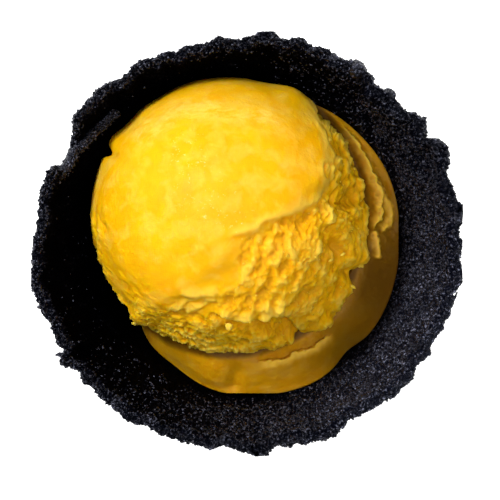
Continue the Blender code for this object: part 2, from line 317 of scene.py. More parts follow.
def framesAlong(bearings, tilts):
    # three directions for each ball: its length points at a bearing and is tilted down from level
    aim, dip = np.radians(bearings), np.radians(tilts)
    length = np.column_stack((np.cos(aim) * np.cos(dip), np.sin(aim) * np.cos(dip), -np.sin(dip)))
    width = np.column_stack((-np.sin(aim), np.cos(aim), np.zeros(len(aim))))
    return np.stack((length, width, np.cross(length, width)), axis=1)


def anyWays(random, count, tilt):
    return framesAlong(random.uniform(0.0, 360.0, count), random.uniform(-tilt, tilt, count))


# The wafer: where its wall stands, how the rim wanders and where it laps over itself

cup = {
    "height": 60.0,
    "mouthRadius": 42.0,        # to the middle of the wall
    "wall": 2.1,
    "lean": 0.31,
    "belly": 0.4,
    "floor": 2.4,
    "footRound": 6.0,
    "floorRound": 4.0,
    "rimRound": 1.3,            # height of the rim's rounded crest
    "waveZone": (34.0, 58.0),
    "cragZone": (46.0, 58.0),
    "stretchFrom": 20.0,
    "rimWaves": dict(counts=(2, 3, 5, 7), height=0.35, seed=4),
    "rimCrags": dict(counts=(17, 23, 31, 38, 47), height=0.26, seed=11),
    "rimTeeth": dict(counts=(11, 19, 29, 37, 53), height=0.42, seed=23),
    "lumps": (                  # angle, push outwards, half width in degrees
        (25, 2.5, 4.0), (9, 0.9, 5.0), (46, -1.2, 7.0), (103, -1.1, 5.0), (127, -0.5, 6.0),
        (190, 1.5, 9.0), (213, 1.5, 2.5), (236, 0.7, 9.0), (303, -1.3, 8.0), (316, 0.8, 4.0),
        (347, 1.3, 10.0), (327, 1.3, 4.5), (220.5, 1.3, 3.5), (64, -0.9, 5.0), (145, -0.8, 4.0),
        (33.5, 1.2, 2.2),
    ),
    "nicks": (                  # smaller dips between the rim's bubbles
        (30.5, -0.5, 1.0), (39.5, -1.2, 2.0), (51.0, -0.6, 2.2), (61.3, -0.6, 1.3),
        (111.0, -0.5, 1.6), (210.5, -1.0, 1.2), (283.0, -0.5, 2.0), (331.0, -0.6, 2.0),
    ),
    "lapOpens": (98.0, 130.0),
    "lapOut": 1.2,
    "lapInnerZone": (37.0, 46.0),
    "lapOuterZone": (3.0, 14.0),
    "outerEnd": (156.0, 160.0),
    "outerDrop": 9.0,
    "dropZone": (141.0, 153.0),
    "gridPitch": 6.6,
    "ribWidth": 1.1,
    "ribHeight": 0.45,
    "liningLow": 24.0,          # the wall's inside below it is hidden by the sorbet
    "seam": 53.0,               # height outside at which the lining meets the shell
    "liningColumns": 1250,
    "innerRows": 52,            # of the lining, up to the rim, and then over its crest
    "crestRows": 13,
    "shellColumns": 820,
}


def wallRadius(height):
    # radius to the middle of the wall: a cone that leans in downwards, with a slight belly
    share = np.clip(height / cup["height"], 0.0, 1.0)
    return cup["mouthRadius"] - cup["lean"] * (cup["height"] - height) + cup["belly"] * np.sin(np.pi * share)


def insideRadius(height):
    return wallRadius(height) - cup["wall"] / 2.0


def lapPush(angle):
    turn = np.mod(angle, 360.0)
    return cup["lapOut"] * ramp(turn, *cup["lapOpens"]) * (1.0 - ramp(turn, *cup["outerEnd"]))


def rimPush(angle, height):
    crags = waves(angle, **cup["rimCrags"])
    for centre, out, halfWidth in cup["lumps"] + cup["nicks"]:
        crags = crags + out * hill(turnedFrom(angle, centre), halfWidth)
    broad = waves(angle, **cup["rimWaves"])
    return broad * ramp(height, *cup["waveZone"]) + crags * ramp(height, *cup["cragZone"])


def rimHeight(angle):
    turn = np.mod(angle, 360.0)
    drop = ramp(turn, *cup["dropZone"]) * (1.0 - ramp(turn, *cup["outerEnd"]))
    return cup["height"] + waves(angle, **cup["rimTeeth"]) - cup["outerDrop"] * drop


def arc(centre, radius, start, end, count):
    turn = np.radians(np.linspace(start, end, count))
    return np.column_stack((centre[0] + radius * np.cos(turn), centre[1] + radius * np.sin(turn)))


def wallRows(heights, side):
    return np.column_stack((wallRadius(heights) + side * cup["wall"] / 2.0, heights))


def liningProfile():
    # half section of a closed band: up the inner wall, over the rim, and back inside the wall
    top = cup["height"] - cup["rimRound"]
    turn = np.radians(np.linspace(165.0, 15.0, cup["crestRows"]))
    crest = top + np.sin(turn) * cup["rimRound"]
    return np.vstack((
        wallRows(np.linspace(cup["liningLow"], top - 0.3, cup["innerRows"]), -1.0),
        np.column_stack((wallRadius(crest) + np.cos(turn) * cup["wall"] / 2.0, crest)),
        wallRows(np.linspace(top - 0.3, cup["seam"] - 1.6, 10), 1.0),
        wallRows(np.linspace(cup["seam"] - 2.2, cup["liningLow"] + 0.6, 4), 0.15),
    ))


def shellProfile():
    # half section from the middle of the floor, up inside the wall, down its outside to the foot
    half = cup["wall"] / 2.0
    lean = math.degrees(math.atan(cup["lean"]))
    floorTop = cup["floor"] + cup["floorRound"]
    floorCentre = (insideRadius(floorTop) - cup["floorRound"], floorTop)
    footCentre = (wallRadius(cup["footRound"]) + half - cup["footRound"], cup["footRound"])
    inner = np.linspace(0.8, floorCentre[0] - 2.0, 4)
    outer = np.linspace(footCentre[0] - 1.0, 0.8, 8)
    return np.vstack((
        np.column_stack((inner, np.full(len(inner), cup["floor"]))),
        arc(floorCentre, cup["floorRound"], -90.0, -lean, 4),
        wallRows(np.linspace(floorTop + 3.0, cup["liningLow"], 4), -1.0),
        wallRows(np.linspace(cup["liningLow"] + 1.5, cup["seam"] + 1.0, 4), -0.1),
        wallRows(np.linspace(cup["seam"] + 1.8, cup["footRound"] + 2.0, 82), 1.0),
        arc(footCentre, cup["footRound"], -lean, -90.0, 10),
        np.column_stack((outer, np.zeros(len(outer)))),
    ))


def profileWays(profile, closed):
    # directions out of the material: the section's run turned a quarter
    if closed:
        run = np.roll(profile, -1, axis=0) - np.roll(profile, 1, axis=0)
    else:
        run = np.gradient(profile, axis=0)
    out = np.column_stack((-run[:, 1], run[:, 0]))
    return out / np.linalg.norm(out, axis=1)[:, None]


def waffleRibs(angle, radius):
    # ribs along two crossing families of lines on the flat sheet that the cone unrolls to
    slope = cup["lean"] / math.hypot(1.0, cup["lean"])
    reach = radius / slope
    spread = np.radians(np.mod(angle - cup["outerEnd"][0], 360.0)) * slope
    flatX, flatY = reach * np.cos(spread), reach * np.sin(spread)
    rise = 0.0
    for along in (flatX + flatY, flatX - flatY):
        offset = np.abs(np.mod(along / math.sqrt(2.0) / cup["gridPitch"], 1.0) - 0.5) * cup["gridPitch"]
        rise = np.maximum(rise, 1.0 - ramp(offset, 0.3 * cup["ribWidth"], cup["ribWidth"]))
    return rise


grain = {
    "fine": (0.85, 0.17),        # size of the grains and their height
    "middle": (1.9, 0.22),
    "lump": (3.6, 1.0),
    "lumpsAt": (45.0, 36.0),     # bearing and spread of the lumpy part of the wall
    "lumpsFrom": (31.0, 42.0),
    "blister": (3.3, 0.62),      # spacing of the burst bubbles and their radius
    "blisterHollow": 0.42,
    "rimGrain": 1.9,             # how much coarser the grain gets on the rim
    "evenFromAbove": 0.7,        # how much less height counts than plan on the inner wall
}


def waferGrain(points, angle, height, side):
    # the baked batter's surface: packed grains on lumps, with burst bubbles here and there
    inner = 1.0 - ramp(side, -0.5, 0.4)
    nearRim = ramp(height, 55.0, 59.0)
    place = points * np.column_stack((np.ones((len(points), 2)), 1.0 - grain["evenFromAbove"] * inner))
    bearing, spread = grain["lumpsAt"]
    lumpy = hill(turnedFrom(angle, bearing), spread) * ramp(height, *grain["lumpsFrom"])
    deeper = 0.55 + 0.45 * inner + (grain["rimGrain"] - 1.0) * nearRim
    rise = 0.0
    layers = (("fine", deeper, 1.0, 63), ("middle", deeper, 1.0, 64), ("lump", lumpy, 0.8, 65))
    for kind, strength, drawn, seed in layers:
        size, tall = grain[kind]
        rise = rise + pebbles(place * [1.0, 1.0, drawn], size, seed) * tall * strength
    rise += layered(place, 0.5, 2, 66) * 0.05 * deeper
    rise += layered(points, 7.0, 2, 67) * 0.25 * (1.0 - ramp(side, 0.3, 0.9))
    spacing, radius = grain["blister"]
    near, _ = cellGap(place, spacing, 68)
    chosen = ramp(noise(place, 9.0, 69), 0.05, 0.2) * ramp(height, 44.0, 52.0)
    burst = 0.3 * hill(near - radius, 0.2) - 0.45 * hill(near, grain["blisterHollow"])
    return rise - 0.2 + burst * chosen, place


def wallSurface(profile, closed, columns, sink):
    # carries the plain profile round the axis to the rolled wafer's uneven rim, overlap and grain
    ways = profileWays(profile, closed)
    angle = np.tile(np.arange(columns) * 360.0 / columns, len(profile))
    radius = np.repeat(profile[:, 0], columns)
    height = np.repeat(profile[:, 1], columns)
    side = np.clip((radius - wallRadius(height)) / (cup["wall"] / 2.0), -1.0, 1.0)
    lifted = height + (rimHeight(angle) - cup["height"]) * ramp(height, cup["stretchFrom"], cup["height"])
    out = radius - wallRadius(height) + wallRadius(lifted) + rimPush(angle, lifted)
    share = (side + 1.0) / 2.0
    lap = share * ramp(lifted, *cup["lapOuterZone"]) + (1.0 - share) * ramp(lifted, *cup["lapInnerZone"])
    out = out + lapPush(angle) * lap
    turn = np.radians(angle)
    points = roundBy(out, turn, lifted)

    outside = ramp(side, 0.6, 1.0) * ramp(height, 6.0, 10.0)
    rise, place = waferGrain(points, angle, height, side)
    ribs = (waffleRibs(angle, out) - 1.0) * cup["ribHeight"] * outside * (1.0 - ramp(height, 52.0, 57.0))
    push = rise * ramp(height, 4.0, 9.0) + ribs - np.repeat(sink, columns)
    wayOut = np.repeat(ways[:, 0], columns)
    wayUp = np.repeat(ways[:, 1], columns)
    points += push[:, None] * roundBy(wayOut, turn, wayUp)

    # the broken crest: ragged in height and to both sides
    broken = ramp(height, cup["height"] - 3.0, cup["height"])
    points[:, 2] += broken * (layered(points, 2.2, 3, 71) * 0.55 + pebbles(points, 1.1, 72) * 0.3)
    sideways = broken * layered(points, 1.7, 2, 73) * 0.3
    points += roundBy(sideways, turn, np.zeros(len(turn)))
    place[:, 2] += 40.0 * (side > 0.5)
    return withinBox(points, "wafer_cup"), place


def coverAndLight(bearing):
    # how thickly grains cover the wall and how strongly it is painted lit, by bearing
    return hill(turnedFrom(bearing, crust["coverAndLightAt"]) / crust["coverAndLightSpread"], 1.0)


def paintedLightOn(points):
    # painted light: the wafer is painted pale on the side the key lights, at the right and front, and nearly
    # black on its shaded side; painted paler also on the crest and outside
    bearing = bearingOf(points)
    side = coverAndLight(bearing) ** 3
    # painted shade: the lit side is painted darker deeper in the cup, towards the sorbet
    side = side * (0.45 + 0.55 * ramp(points[:, 2], 36.0, 46.0))
    crest = ramp(points[:, 2], cup["height"] - 2.6, cup["height"] - 1.0)
    plain = wallRadius(points[:, 2]) + rimPush(bearing, points[:, 2]) + lapPush(bearing)
    outside = ramp(np.hypot(points[:, 0], points[:, 1]) - plain, -0.1, 0.3)
    return np.clip(np.maximum(np.maximum(side, 0.35 * crest), 0.45 * outside), 0.0, 1.0)


def addGrainValues(mesh, place, points):
    addPlace(mesh, "grainPlace", place)
    addValue(mesh, "paintedLight", paintedLightOn(points))


def buildLining(material):
    columns = cup["liningColumns"]
    profile = liningProfile()
    sink = 0.5 * ramp(cup["seam"] + 0.3 - profile[:, 1], 0.0, 1.5)
    sink[:cup["innerRows"] + 9] = 0.0     # the inner wall and most of the crest aren't sunk
    points, place = wallSurface(profile, True, columns, sink)
    mesh = makeMesh("waferLining", points, gridFaces(len(profile), columns, True)[:, ::-1])
    addGrainValues(mesh, place, points)
    makePiece("waferLining", mesh, material, "wafer_cup")
    return points.reshape(len(profile), columns, 3)


def buildShell(material):
    columns = cup["shellColumns"]
    profile = shellProfile()
    outside = profile[:, 0] > wallRadius(profile[:, 1]) + 0.5
    sink = np.where(outside, 0.5 * ramp(profile[:, 1] - cup["seam"] + 0.3, 0.0, 1.5), 0.0)
    points, place = wallSurface(profile, False, columns, sink)
    foot, top = len(points), len(points) + 1
    points = np.vstack((points, [[0.0, 0.0, 0.0], [0.0, 0.0, cup["floor"]]]))
    place = np.vstack((place, points[-2:]))
    ring = np.arange(columns)
    last = (len(profile) - 1) * columns
    fans = np.vstack((fan(ring, top), fan(ring + last, foot, True)))
    mesh = makeMesh("waferShell", points, gridFaces(len(profile), columns)[:, ::-1], fans)
    addGrainValues(mesh, place, points)
    makePiece("waferShell", mesh, material, "wafer_cup")


flap = {
    "start": 134.0,
    "end": 165.0,
    "low": 38.0,
    "top": (49.5, 59.0),
    "curve": 1.3,
    "thick": 1.5,
    "inset": 0.5,
    "columns": 210,
    "rows": 130,
}


def buildFlap(material):
    # the inner end of the rolled sheet: a thin shell round its own section, row by row
    around = flap["rows"]
    loop = np.linspace(0.0, 2.0 * np.pi, around, endpoint=False)
    acrossGrid, loopGrid = np.meshgrid(np.linspace(0.0, 1.0, flap["columns"]), loop, indexing="ij")
    acrossGrid, loopGrid = acrossGrid.ravel(), loopGrid.ravel()
    up = (1.0 - np.cos(loopGrid)) / 2.0
    side = np.clip(np.sin(loopGrid) * 4.0, -1.0, 1.0)
    angle = flap["start"] + (flap["end"] - flap["start"]) * acrossGrid
    crest = flap["top"][0] + (flap["top"][1] - flap["top"][0]) * acrossGrid ** flap["curve"]
    crest = crest + waves(angle, **cup["rimTeeth"]) * (1.0 - acrossGrid)
    height = flap["low"] + (crest - flap["low"]) * up
    inset = flap["inset"] * (1.0 - ramp(angle, cup["outerEnd"][0], flap["end"] - 1.0))
    thin = ramp(acrossGrid, -0.01, 0.04) * (1.0 - 0.6 * ramp(acrossGrid, 0.94, 1.0))
    radius = wallRadius(height) - inset + rimPush(angle, height) + side * flap["thick"] / 2.0 * thin
    turn = np.radians(angle)
    points = roundBy(radius, turn, height)
    nearTop = ramp(up, 0.85, 1.0)
    place = points * [1.0, 1.0, 0.4]
    push = side * (pebbles(place, 0.8, 81) * 0.16 + pebbles(place, 1.8, 82) * 0.16 - 0.1)
    points += roundBy(push, turn, np.zeros(len(turn)))
    points[:, 2] += nearTop * (layered(points, 1.8, 3, 83) * 0.5 + pebbles(points, 0.9, 84) * 0.25)
    rows = flap["columns"]
    ring = np.arange(around)
    ends = np.array([points[:around].mean(axis=0), points[-around:].mean(axis=0)])
    first = len(points)
    last = (rows - 1) * around
    fans = np.vstack((fan(ring, first, True), fan(ring + last, first + 1)))
    points = np.vstack((points, ends))
    mesh = makeMesh("waferFlap", points, gridFaces(rows, around), fans)
    addPlace(mesh, "grainPlace", np.vstack((place, ends)))
    # painted light: the flap is painted paler towards its lit top
    addValue(mesh, "paintedLight", 0.8 * ramp(np.append(nearTop, (0.0, 0.0)), 0.35, 0.9))
    makePiece("waferFlap", mesh, material, "wafer_cup")
    return points[:-2].reshape(rows, around, 3)


rimBits = {
    "bubbles": (                # angle, radius from the axis, height, half width
        (34.7, 42.9, 59.6, 1.35), (27.6, 43.7, 59.4, 1.30), (24.2, 44.3, 58.9, 1.00),
        (46.5, 41.7, 59.7, 1.50), (57.7, 42.0, 59.4, 1.95), (64.9, 41.2, 59.3, 1.50),
    ),
    "rings": 80,                # burst bubbles: how many, their radius, how thick their edge is
    "ringsAt": (-20.0, 75.0),   # bearing about which they gather, and how widely
    "ringRows": (50, 58),       # rows of the lining that they lie on
    "ringRadius": (0.35, 0.75),
    "ringEdge": 0.15,
    "flakes": (                 # angle, radius, height, length, width, thickness, bearing it points to
        (211.0, 44.0, 59.3, 1.25, 0.55, 0.35, 180.0),
        (237.4, 42.5, 59.4, 1.9, 1.0, 0.35, 330.0),
        (231.0, 42.6, 59.6, 1.3, 0.8, 0.3, 300.0),
        (343.0, 43.5, 58.6, 3.2, 0.35, 0.3, 245.0),
    ),
}


crust = {
    "pieces": 3,
    "perPiece": 5200,
    "onRim": 0.168,             # share of the grains that stand on the rim
    "rimRows": (54, 72),
    "size": (0.15, 0.40),
    "coverAndLightAt": -30.0,           # bearing about which the wall is most thickly covered with grains and painted lightest, the side the key lights
    "coverAndLightSpread": 92.0,
    "bareShare": 0.002,         # share of grains kept on the smoother side
    "nearRim": 0.62,            # below 1 gathers them towards the rim
    "onFlap": 1300,
    "from": 32.0,
}


def addWaferBits(name, material, parts):
    points, quads, triangles = parts
    points = withinBox(points, "wafer_cup")
    mesh = makeMesh(name, points, quads, triangles)
    addPlace(mesh, "grainPlace", points)
    # the grains are painted at least half lit
    addValue(mesh, "paintedLight", np.maximum(paintedLightOn(points), 0.5))
    makePiece(name, mesh, material, "wafer_cup")


def buildRimBits(material):
    bubbles = np.array(rimBits["bubbles"])
    turn = np.radians(bubbles[:, 0])
    centres = roundBy(bubbles[:, 1], turn, bubbles[:, 2])
    sizes = bubbles[:, 3:4] * [1.0, 1.0, 0.9]
    frames = framesAlong(bubbles[:, 0], np.zeros(len(turn)))
    points, quads, triangles = scatterBalls(centres, sizes, frames, 34, 54, 0.22, 91)
    middles = np.repeat(centres, len(points) // len(centres), axis=0)
    grains = pebbles(points, 0.62, 95) * 0.2 + pebbles(points, 1.1, 96) * 0.16 - 0.2
    ways = (points - middles) / np.linalg.norm(points - middles, axis=1)[:, None]
    addWaferBits("rimBubbles", material, (points + ways * grains[:, None], quads, triangles))
    flakes = np.array(rimBits["flakes"])
    centres = roundBy(flakes[:, 1], np.radians(flakes[:, 0]), flakes[:, 2])
    frames = framesAlong(flakes[:, 6], np.full(len(flakes), 8.0))
    addWaferBits("rimFlakes", material, scatterBalls(centres, flakes[:, 3:6], frames, 14, 28, 0.3, 92))


def buildRings(material, lining):
    # open rings laid on the crest: a circle carried round a circle, both unevenly
    random = np.random.default_rng(97)
    count, around, section = rimBits["rings"], 18, 7
    columns = lining.shape[1]
    row = random.integers(*rimBits["ringRows"], count)
    column = (random.normal(*rimBits["ringsAt"], count) / 360.0 * columns).astype(int) % columns
    centres = lining[row, column]
    bearing = 2.0 * np.pi * column / columns
    tilt = np.clip((row - rimBits["ringRows"][1]) / 10.0, -0.6, 1.0)
    axis = roundBy(tilt, bearing, np.ones(count))
    axis /= np.linalg.norm(axis, axis=1)[:, None]
    first = np.cross(axis, [0.3, 0.7, 0.1])
    first /= np.linalg.norm(first, axis=1)[:, None]
    second = np.cross(axis, first)
    turn = 2.0 * np.pi * np.arange(around) / around
    roll = 2.0 * np.pi * np.arange(section) / section
    turnGrid, rollGrid = [grid.ravel() for grid in np.meshgrid(turn, roll, indexing="ij")]
    radius = random.uniform(*rimBits["ringRadius"], (count, 1))
    uneven = 1.0 + 0.12 * np.cos(2.0 * turnGrid + random.uniform(0.0, 6.0, (count, 1)))
    reach = radius * uneven + rimBits["ringEdge"] * np.cos(rollGrid)
    lift = rimBits["ringEdge"] * np.sin(rollGrid)
    across = first[:, None] * (reach * np.cos(turnGrid))[..., None]
    across = across + second[:, None] * (reach * np.sin(turnGrid))[..., None]
    points = centres[:, None] + across + axis[:, None] * lift[:, None]
    quads = gridFaces(around, section, True)[None] + np.arange(count)[:, None, None] * around * section
    addWaferBits("rimRings", material, (points.reshape(-1, 3), quads.reshape(-1, 4), None))


def grainSizes(random, count):
    low, high = crust["size"]
    sizes = low + (high - low) * random.uniform(size=(count, 1)) ** 2.2
    return sizes * random.uniform(0.75, 1.2, (count, 3))


def buildCrust(material, lining, flapGrid):
    # round grains of baked sugar stand out of the lining, fewer where the wall is smooth
    random = np.random.default_rng(93)
    rows, columns = lining.shape[:2]
    low = np.searchsorted(liningProfile()[:40, 1], crust["from"])
    for part in range(crust["pieces"]):
        count = crust["perPiece"] * 3
        onRim = random.uniform(size=count) < crust["onRim"]
        high = random.uniform(size=count) ** crust["nearRim"]
        onWall = low + (high * (cup["innerRows"] - low)).astype(int)
        row = np.where(onRim, random.integers(*crust["rimRows"], count), onWall)
        column = random.integers(0, columns, count)
        bearing = column * 360.0 / columns
        cover = crust["bareShare"] + coverAndLight(bearing) ** 2
        kept = np.flatnonzero(onRim | (random.uniform(size=count) < cover))[:crust["perPiece"]]
        centres = lining[row[kept], column[kept]] + random.normal(0.0, 0.05, (len(kept), 3))
        frames = anyWays(random, len(kept), 60.0)
        grains = scatterBalls(centres, grainSizes(random, len(kept)), frames, 3, 6, 0.3, 94 + part)
        addWaferBits("waferCrust%d" % part, material, grains)
    count = crust["onFlap"]
    around = flap["rows"] // 2 + random.normal(0.0, flap["rows"] * 0.05, count).astype(int)
    centres = flapGrid[random.integers(2, flap["columns"] - 2, count), around]
    frames = anyWays(random, count, 60.0)
    grains = scatterBalls(centres, grainSizes(random, count), frames, 3, 6, 0.3, 99)
    addWaferBits("flapCrust", material, grains)


# The scoop: a ball with a smooth cap, a torn side and a frothy hem

scoop = {
    "radius": 28.6,
    "centre": (-4.2, 6.2, 42.0),
    "reliefFrom": (-0.12, 0.02),
    "flare": dict(toward=-42.0, spread=38.0, out=2.6, height=6.0, level=4.5),
    "tatters": dict(counts=(13, 21, 34), height=0.45, seed=7),
    "tornSink": 1.3,
    "tornAcross": (0.62, -0.78),
    "tornStarts": 5.5,
    "tornBlend": 5.0,
    "tornAbove": (0.05, 0.25),
    "gap": 0.35,
    "spare": 0.25,
    "flapShade": 22.0,
    "steps": 314,
    "facing": (56.0, -66.0),    # tilt and bearing of the torn side, where the grid is finest
    "openings": ((0.0, 0.58, 0.92, 1.0), (0.0, 62.0, 135.0, 176.5)),  # share of rings, degrees reached
    "folds": dict(              # plan points from the scoop's centre, rise, half width
        tearHollow=(((22.1, 4.3), (25.8, 2.7)), -1.9, 2.0),
        facetHollow=(((21.9, -4.1), (24.1, -7.5)), -2.0, 1.7),
        ledgeHollow=(((3.0, -23.8), (8.9, -24.3), (15.3, -24.3)), -1.7, 1.4),
        shelf=(((-7.3, -17.2), (-2.9, -17.0)), 0.7, 1.5),
        knob=(((26.1, -8.0), (27.6, -10.2)), 0.8, 1.5),
        knobHollow=(((25.6, -12.4), (27.6, -13.4)), -1.8, 1.5),
        curl=(((-19.1, -21.4), (-18.4, -22.0)), 1.3, 1.6),
    ),
    # torn edges: rise, how far back, drop, how far on, overhang, raggedness, edge width, plan points
    "lips": {
        "strip": (0.35, 2.2, 0.75, 2.6, 0.15, 1.2, 0.9, (
            (16.2, 25.6), (17.8, 22.6), (18.8, 18.9), (21.2, 13.8), (22.0, 11.3), (19.7, 9.4), (21.3, 6.5),
            (24.1, 5.6),
        )),
        "crease": (0.55, 1.9, 0.6, 2.2, 0.0, 0.8, 1.5, (
            (24.1, 6.0), (20.7, 3.5), (17.1, 1.4), (13.3, -0.3), (8.4, -1.5), (6.0, -3.5), (2.8, -4.1),
            (-0.6, -5.7),
        )),
        "facet": (0.5, 2.4, 0.8, 2.0, 0.1, 1.3, 1.3, (
            (25.3, 1.3), (22.3, -2.0), (20.9, -5.5), (19.5, -9.1), (15.3, -9.9),
        )),
        "ledge": (0.5, 2.2, 1.2, 1.5, 0.6, 1.0, 0.6, (
            (16.6, -24.6), (14.8, -23.1), (12.8, -21.3), (9.7, -21.6), (6.4, -22.4), (2.0, -22.2),
            (-0.9, -21.4), (-4.0, -20.6),
        )),
        "shelf": (0.2, 1.5, 0.28, 1.4, 0.0, 0.7, 1.1, (
            (-1.2, -16.6), (-2.9, -17.0), (-7.3, -17.2), (-9.6, -16.4),
        )),
        "flakeA": (0.25, 1.2, 0.32, 1.1, 0.1, 0.8, 0.9, ((-2.0, -18.3), (-3.7, -18.9), (-9.6, -22.3))),
        "flakeB": (0.25, 1.2, 0.32, 1.1, 0.1, 0.8, 0.9, (
            (-5.0, -17.6), (-6.1, -18.1), (-12.0, -20.9), (-15.0, -21.0),
        )),
    },
    # where the smooth skin ends, from the upper right round the lower side
    "skinEnds": (
        (15.0, 30.0), (16.2, 25.6), (17.8, 22.6), (18.8, 18.9), (21.2, 13.8), (22.0, 11.3), (19.7, 9.4),
        (21.3, 6.5), (22.5, 5.0), (20.7, 3.5), (17.1, 1.4), (13.3, -0.3), (8.4, -1.5), (6.0, -3.5),
        (2.8, -5.0), (2.0, -9.0), (0.0, -14.0), (-4.0, -17.0), (-9.8, -17.2), (-16.0, -15.0),
        (-22.0, -9.5), (-30.0, -2.0), (-45.0, -45.0), (45.0, -45.0), (45.0, 30.0),
    ),
    # lumps on the outline: bearing, push outwards, half width in degrees, height, reach
    "outline": (
        (146.5, 0.75, 3.4, 1.0, 7.0), (136.0, -0.25, 5.0, 2.0, 9.0), (152.6, -2.2, 2.0, 0.0, 9.0),
        (61.0, 1.4, 9.0, 4.0, 6.0), (-21.0, -0.7, 3.4, 1.5, 5.0), (-33.0, 0.4, 4.0, 1.5, 4.0),
        (-46.0, 0.8, 1.8, 1.5, 4.0), (-64.0, 0.5, 3.0, 1.5, 4.0), (-58.5, 0.9, 4.0, 2.5, 6.0),
    ),
}


def ballDirections(steps, facing, openings):
    # a square grid carried to a disc in rings, and the disc wrapped round a ball
    line = np.linspace(-1.0, 1.0, steps + 1)
    first, second = np.meshgrid(line, line, indexing="ij")
    wide = np.abs(first) > np.abs(second)
    reach = np.where(wide, first, second)
    other = np.where(wide, second, first)
    quarter = np.pi / 4.0 * other / np.where(reach == 0.0, 1.0, reach)
    turn = np.where(wide, quarter, np.pi / 2.0 - quarter) + np.where(reach < 0.0, np.pi, 0.0)
    opened = np.radians(np.interp(np.abs(reach), *openings))
    local = np.stack((np.sin(opened) * np.cos(turn), np.sin(opened) * np.sin(turn), np.cos(opened)), axis=-1)
    lean, aim = np.radians(facing)
    cosAim, sinAim = math.cos(aim), math.sin(aim)
    axisZ = np.array((math.sin(lean) * cosAim, math.sin(lean) * sinAim, math.cos(lean)))
    axisX = np.array((math.cos(lean) * cosAim, math.cos(lean) * sinAim, -math.sin(lean)))
    return local.reshape(-1, 3) @ np.stack((axisX, np.cross(axisZ, axisX), axisZ)), axisZ


def keptInside(points):
    # presses points that would reach into the wafer back to just inside its wall
    angle = bearingOf(points)
    radius = np.hypot(points[:, 0], points[:, 1])
    inset = hill(turnedFrom(angle, (flap["start"] + flap["end"]) / 2.0), scoop["flapShade"]) * flap["inset"]
    limit = insideRadius(points[:, 2]) - scoop["gap"] - inset - scoop["spare"]
    share = np.minimum(1.0, limit / np.maximum(radius, 1e-6))
    return points * np.column_stack((share, share, np.ones(len(points))))


def shingles(rho, flat, spacing, seed):
    # low overlapping scales: height climbs outwards along rho, then falls at a ragged edge
    bend = noise(flat, spacing * 4.0, seed) * spacing * 1.5
    bend = bend + noise(flat, spacing * 0.9, seed + 1) * spacing * 0.45
    phase = (rho + bend) / spacing
    order = np.floor(phase)
    part = phase - order
    shifted = flat + np.column_stack((order * 7.3, order * 3.1, order * 5.7))
    strength = ramp(noise(shifted, spacing * 2.6, seed + 2), -0.3, 0.6)
    return part * (1.0 - ramp(part, 0.6, 1.0)) * strength


def scoopForm(unit, plan, bearing):
    # the main forms, the same as the solid's, and the lumps that show on the outline
    level = unit[:, 2] * scoop["radius"]
    torn = ramp(plan @ np.array(scoop["tornAcross"]) - scoop["tornStarts"], 0.0, scoop["tornBlend"])
    torn = torn * ramp(unit[:, 2], *scoop["tornAbove"])
    flare = scoop["flare"]
    hem = hill(turnedFrom(bearing, flare["toward"]), flare["spread"])
    hem = hem * hill(level - flare["level"], flare["height"])
    relief = (flare["out"] + waves(bearing, **scoop["tatters"])) * hem - scoop["tornSink"] * torn
    for centre, out, halfWidth, rise, reach in scoop["outline"]:
        relief = relief + out * hill(turnedFrom(bearing, centre), halfWidth) * hill(level - rise, reach)
    return relief + folded(plan, scoop["folds"])


tornLook = {                    # noises as pairs of size and height
    "wander": ((2.6, 0.55), (1.1, 0.32), (0.5, 0.12)),
    "ridges": ((2.1, 0.95), (1.05, 0.42)),
    "ridgesRun": (0.225, 0.974),    # plan direction
    "ridgesAt": (9.5, 9.0),     # where they lie across the scoop, half width
    "crumb": (3.2, 0.75),
    "scales": ((3.0, 0.6, 130), (1.4, 0.3, 140)),
    "frothAt": (-103.0, 40.0),  # bearing, half width
    "frothFrom": (29.5, 33.5),  # distance from the top along the ball
    "bubble": 2.0,
    "fine": ((0.6, 0.13), (0.33, 0.05)),
    "teethAt": (-66.0, 72.0),
    "teeth": ((1.7, 0.4), (0.8, 0.3), (0.4, 0.12)),
}


